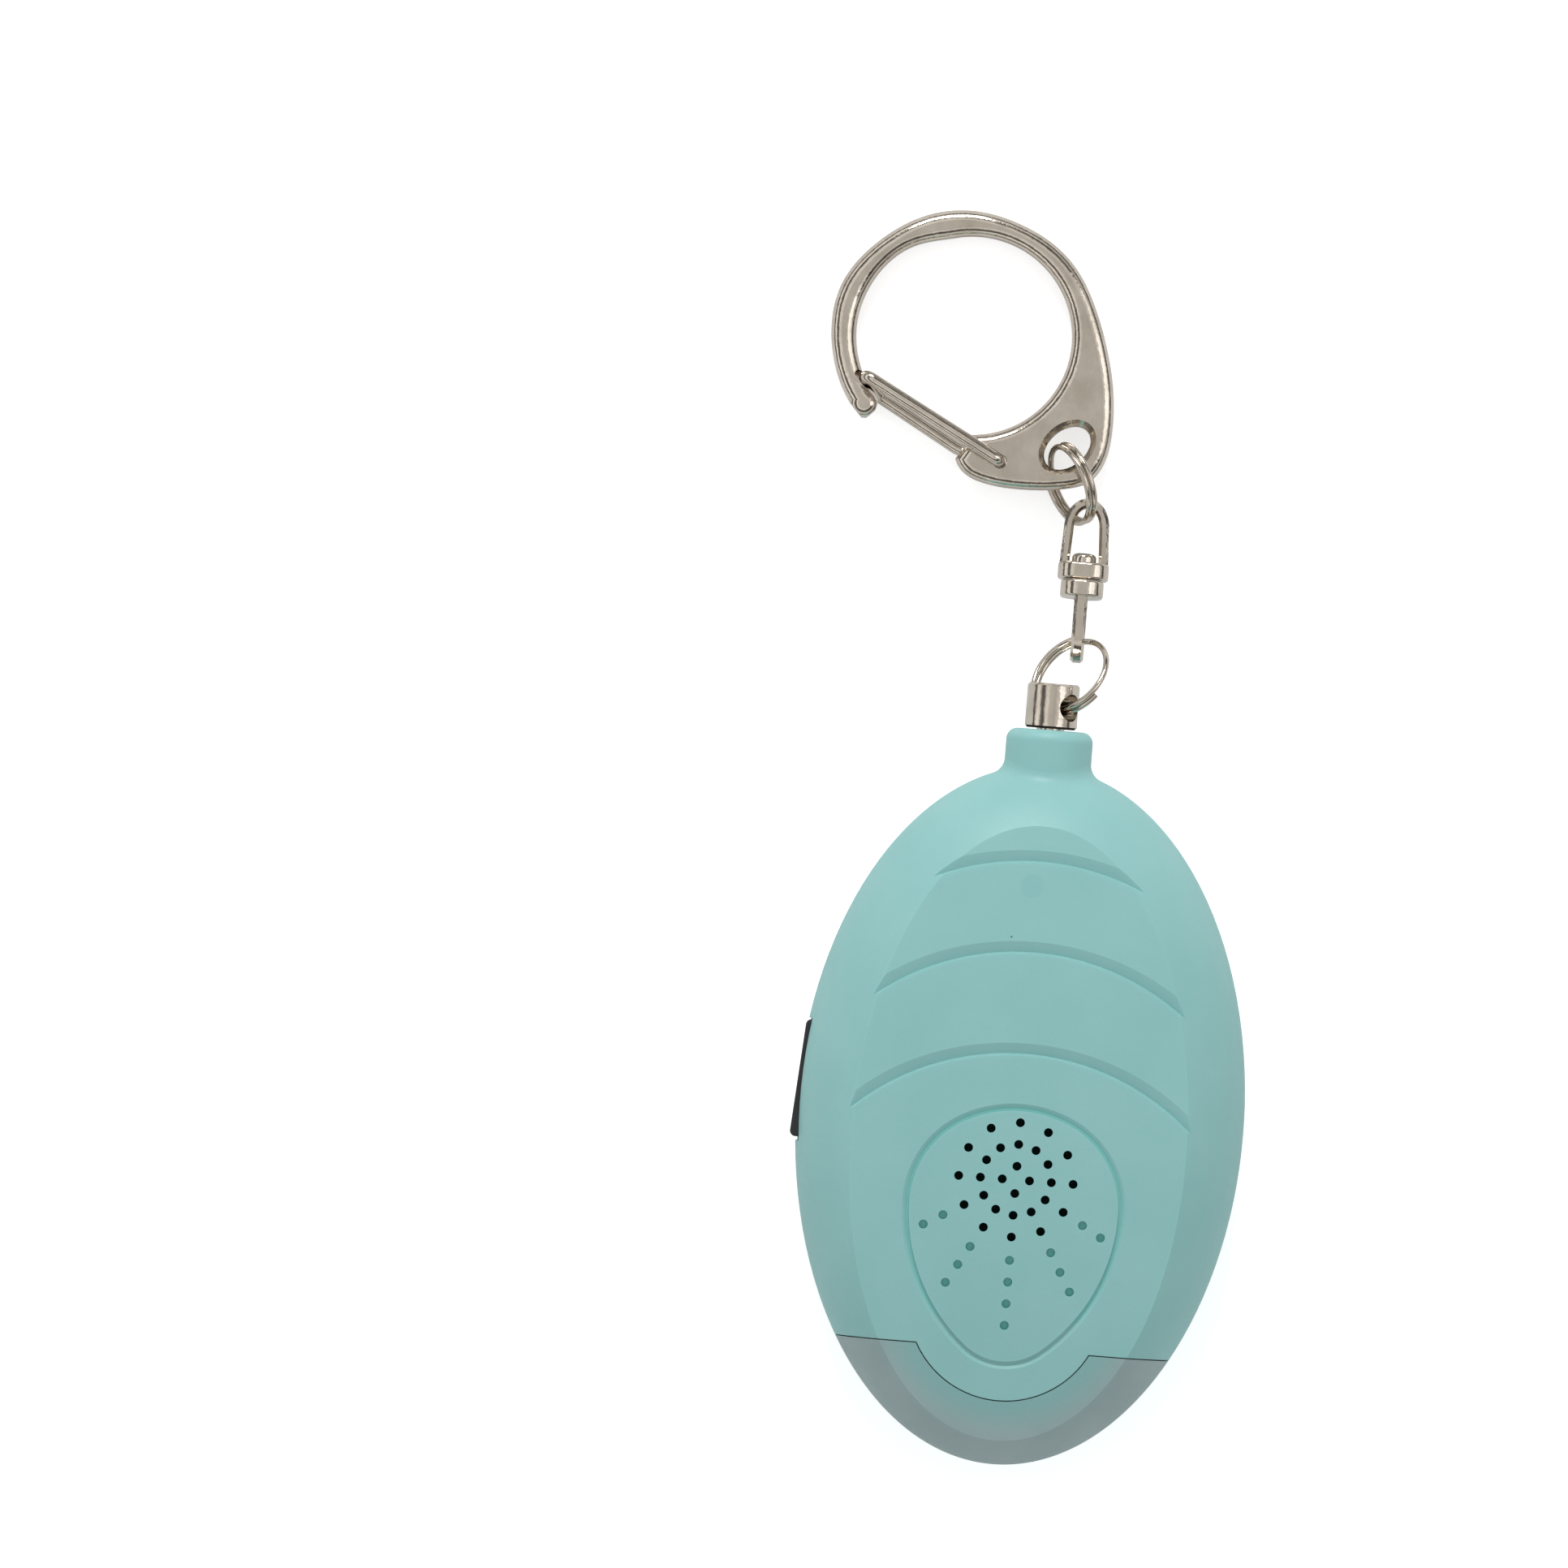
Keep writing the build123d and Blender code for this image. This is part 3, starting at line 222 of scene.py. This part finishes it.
def dress(frame):
    """Gives every carried-over node its finish."""
    # Warm bright plate, faintly mottled: sharp light and dark bands along every round.
    nickel = metal("bright_nickel_plate", "#D8CFC3", "#C4BBAE", 0.12, 0.9, 0.014, 3.0)
    mint = mint_abs()
    # A dark satin edge against the mint.
    black = plastic("black_satin_abs", "#17181A", "#202124", 0.38)
    # Warm, softly shining leaves and springs.
    spring = metal("phosphor_bronze_spring", "#C9B58E", "#BFA97F", 0.24)
    # Cool grey heads, duller than the nickel.
    steel = metal("zinc_plated_steel", "#B4B5B7", "#A3A5A8", 0.26)
    looks = {
        "front_shell": mint, "rear_shell": mint, "battery_door": mint, "lens": frosted_lens(),
        "side_button": black, "switch_body": black, "control_chip": black, "transistor": black,
        "case_screws": steel, "door_screw": steel, "button_pin": steel,
        "siren_contacts": spring, "negative_contact": spring, "positive_contact": spring, "pin_wipers": spring,
        "circuit_board": board_laminate(), "lamps": clear_resin(),
        # Black with a soft, low shine round the pin.
        "pin_socket": plastic("black_acetal", "#141517", "#1C1D1F", 0.45),
        # Red-brown, with the fine relief of the winding.
        "boost_coil": metal("enamelled_copper_winding", "#8C4A26", "#A35C33", 0.3, 0.25, 0.02),
        # Small dark blocks.
        "resistors": plastic("resistor_ceramic", "#1E1F22", "#2B2D31", 0.5),
        # A pale dot on the black switch.
        "switch_plunger": plastic("white_acetal", "#E2E0D8", "#EAE8E1", 0.35),
        # Dead dark ground behind the sound holes.
        "dust_felt": plastic("black_wool_felt", "#10211F", "#182D2A", 0.95, 0.3, 0.12),
        # Dark and open-textured round the disc.
        "siren_seal": plastic("closed_cell_foam", "#232325", "#2F2F32", 0.9, 0.4, 0.06),
        # Yellow metal with a soft shine.
        "siren_disc": metal("spun_brass", "#C6A254", "#B8944A", 0.28),
        # A pale matt disc on the brass.
        "siren_ceramic": plastic("silvered_piezo_ceramic", "#D2CFC6", "#DEDBD2", 0.45),
        # Bright cool faces under the door.
        "coin_cells": metal("nickel_plated_steel", "#C4C6C7", "#B6B8B9", 0.22),
        # A light grey can.
        "capacitor": metal("drawn_aluminium_can", "#BEC1C4", "#B2B5B8", 0.3),
    }
    for name, node in frame["nodes"].items():
        node.data.materials.clear()
        node.data.materials.append(looks.get(name, nickel))
    split_rings(nickel)


def wire_tree(finish):
    """Geometry Nodes for a split ring: a spiral of wire, swept with a circle."""
    tree = bpy.data.node_groups.new("wound_ring", "GeometryNodeTree")
    names = ("Wire Radius", "Coil Radius", "Pitch", "Turns")
    for name in names:
        tree.interface.new_socket(name, in_out="INPUT", socket_type="NodeSocketFloat")
    tree.interface.new_socket("Geometry", in_out="OUTPUT", socket_type="NodeSocketGeometry")
    sizes = add(tree, "NodeGroupInput").outputs
    height = add(tree, "ShaderNodeMath", {"operation": "MULTIPLY"}, {0: sizes["Pitch"], 1: sizes["Turns"]})
    line = add(tree, "GeometryNodeCurveSpiral", {"Resolution": 180},
               {"Rotations": sizes["Turns"], "Start Radius": sizes["Coil Radius"],
                "End Radius": sizes["Coil Radius"], "Height": height.outputs[0]})
    circle = add(tree, "GeometryNodeCurvePrimitiveCircle", {"Resolution": 28}, {"Radius": sizes["Wire Radius"]})
    tube = add(tree, "GeometryNodeCurveToMesh", {"Fill Caps": True},
               {"Curve": line.outputs["Curve"], "Profile Curve": circle.outputs["Curve"]})
    smooth = add(tree, "GeometryNodeSetShadeSmooth", {}, {0: tube.outputs["Mesh"]})
    real = add(tree, "GeometryNodeRealizeInstances", {}, {0: smooth.outputs[0]})
    painted = add(tree, "GeometryNodeSetMaterial", {"Material": finish}, {"Geometry": real.outputs[0]})
    add(tree, "NodeGroupOutput", {}, {0: painted.outputs["Geometry"]})
    return tree


def wind_ring(name, node, body, tree, sizes, place):
    """Evaluates a ring's tree with its sizes in millimetres, puts it in place and lets it stand for a node."""
    holder = bpy.data.objects.new(name, bpy.data.curves.new(name, "CURVE"))
    bpy.context.scene.collection.objects.link(holder)
    modifier = holder.modifiers.new("wire", "NODES")
    modifier.node_group = tree
    for socket in tree.interface.items_tree:
        if socket.name in sizes:
            modifier[socket.identifier] = float(sizes[socket.name]) * (1 if socket.name == "Turns" else MM)
    bpy.context.view_layer.update()
    mesh = bpy.data.meshes.new_from_object(holder.evaluated_get(bpy.context.evaluated_depsgraph_get()))
    bpy.data.objects.remove(holder)
    mesh.transform(place)
    piece = bpy.data.objects.new(name, mesh)
    bpy.context.scene.collection.objects.link(piece)
    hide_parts(node)
    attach(piece, body)


def axes(origin, ahead, up):
    """A place in millimetres whose x axis points ahead and z axis up."""
    ahead, up = Vector(ahead).normalized(), Vector(up).normalized()
    turn = Matrix((ahead, up.cross(ahead), up)).transposed().to_4x4()
    return Matrix.Translation(Vector(origin) * MM) @ turn


def split_rings(nickel):
    """Both rings as smooth wire, with the sizes and places of their solids."""
    coil = wire_tree(nickel)
    # Name, centre, direction ahead, direction up, radius to the wire's middle, start angle, turns.
    rings = (
        ("lower", (1.73, 47.3465, 9.3259), (0.3396, 0.8616, -0.3772), (-0.5765, 0.5075, 0.6403), 4.5, 247, 1.647),
        ("upper", (0.19, 67.9, 4.95), (0.4195, -0.9078, 0.0), (-0.8319, -0.3844, 0.4003), 4.25, 179, 1.83),
    )
    for name, centre, ahead, up, radius, start, turns in rings:
        place = axes(centre, ahead, up) @ Matrix.Rotation(math.radians(start), 4, "Z") \
            @ Matrix.Translation((0, 0, -RING_PITCH * turns / 2 * MM))
        wind_ring(name + "_ring_wire", name + "_split_ring", name + "_ring", coil,
                  {"Wire Radius": RING_WIRE / 2, "Coil Radius": radius, "Pitch": RING_PITCH, "Turns": turns}, place)


def floor():
    """A white card that the camera sees at full white outside the shadow, with no more light on the object."""
    side, low = 1.6, -0.02 * MM
    mesh = bpy.data.meshes.new("table_top")
    corners = [(-side, -side, low), (side, -side, low), (side, side, low), (-side, side, low)]
    mesh.from_pydata(corners, [], [(0, 1, 2, 3)])
    card, tree, shader, _ = surface("white_card", Roughness=0.9, IOR=1.45)
    shader.inputs["Base Color"].default_value = linear("#F0F0F0")
    seen = add(tree, "ShaderNodeLightPath").outputs["Is Camera Ray"]
    lift = add(tree, "ShaderNodeMath", {"operation": "MULTIPLY", 1: CARD_LIFT}, {0: seen})
    glow = add(tree, "ShaderNodeEmission", {}, {"Strength": lift.outputs[0]})
    both = add(tree, "ShaderNodeAddShader", {}, {0: shader.outputs["BSDF"], 1: glow.outputs["Emission"]})
    tree.links.new(both.outputs[0], tree.nodes["Material Output"].inputs["Surface"])
    mesh.materials.append(card)
    table = bpy.data.objects.new("table_top", mesh)
    bpy.context.scene.collection.objects.link(table)


def lamp(name, place, size, power):
    """A rectangular lamp aimed at the middle of the picture."""
    data = bpy.data.lights.new(name, "AREA")
    data.shape = "RECTANGLE"
    data.size, data.size_y = size
    data.energy = power
    light = bpy.data.objects.new(name, data)
    light.location = place
    light.rotation_euler = (LOOK_AT - Vector(place)).to_track_quat("-Z", "Y").to_euler()
    bpy.context.scene.collection.objects.link(light)


def world():
    """An even room for diffuse light; reflections see bright and dark bands, and a bright panel to the right."""
    scene = bpy.context.scene
    scene.world = scene.world or bpy.data.worlds.new("studio")
    scene.world.use_nodes = True
    tree = scene.world.node_tree
    back = tree.nodes["Background"]
    towards = add(tree, "ShaderNodeTexCoord").outputs["Generated"]
    where = add(tree, "ShaderNodeSeparateXYZ", {}, {0: towards})
    ramp = add(tree, "ShaderNodeValToRGB", {}, {0: where.outputs["Z"]})
    while len(ramp.color_ramp.elements) < len(ROOM_BANDS):
        ramp.color_ramp.elements.new(0.5)
    for element, (place, level) in zip(ramp.color_ramp.elements, ROOM_BANDS):
        element.position = place
        element.color = tuple(level * share for share in ROOM_WARMTH) + (1.0,)
    side = add(tree, "ShaderNodeMapRange", {"From Min": -0.7, "From Max": 0.7, "To Min": 1.15, "To Max": 0.6},
               {"Value": where.outputs["X"]})
    room = add(tree, "ShaderNodeVectorMath", {"operation": "SCALE"},
               {0: ramp.outputs["Color"], "Scale": side.outputs["Result"]})
    off = add(tree, "ShaderNodeVectorMath", {"operation": "DISTANCE", 1: PANEL_TOWARDS}, {0: towards})
    panel = add(tree, "ShaderNodeMapRange",
                {"From Min": PANEL_FADE_START, "From Max": PANEL_EDGE, "To Max": PANEL_LEVEL},
                {"Value": off.outputs["Value"]})
    room = add(tree, "ShaderNodeVectorMath", {"operation": "ADD"},
               {0: room.outputs["Vector"], 1: panel.outputs["Result"]})
    paths = add(tree, "ShaderNodeLightPath")
    sky = add(tree, "ShaderNodeMix", {"data_type": "RGBA", 6: (ROOM_LEVEL, ROOM_LEVEL, ROOM_LEVEL, 1.0)},
              {0: paths.outputs["Is Glossy Ray"], 7: room.outputs["Vector"]})
    white = add(tree, "ShaderNodeMix", {"data_type": "RGBA", 7: (1.0, 1.0, 1.0, 1.0)},
                {0: paths.outputs["Is Camera Ray"], 6: sky.outputs[2]})
    tree.links.new(white.outputs[2], back.inputs["Color"])


def camera():
    """Straight above, with the picture's upright turned to the alarm's as in the photograph."""
    data = bpy.data.cameras.new("overhead")
    eye = bpy.data.objects.new("overhead", data)
    bpy.context.scene.collection.objects.link(eye)
    eye.location = (LOOK_AT.x, LOOK_AT.y, CAMERA_HEIGHT)
    eye.rotation_euler = (0.0, 0.0, math.atan2(-UP_SIDE, UP_AHEAD))
    data.sensor_width = SENSOR
    data.lens = SENSOR * (CAMERA_HEIGHT - LOOK_AT.z) / (PHOTO_SIDE * SCALE)
    data.clip_end = 2 * CAMERA_HEIGHT
    bpy.context.scene.camera = eye
    bpy.context.scene.view_settings.view_transform = "Standard"


def main():
    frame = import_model()
    dress(frame)
    floor()
    world()
    lamp("window", WINDOW_PLACE, WINDOW_SIZE, WINDOW_POWER)
    camera()


main()
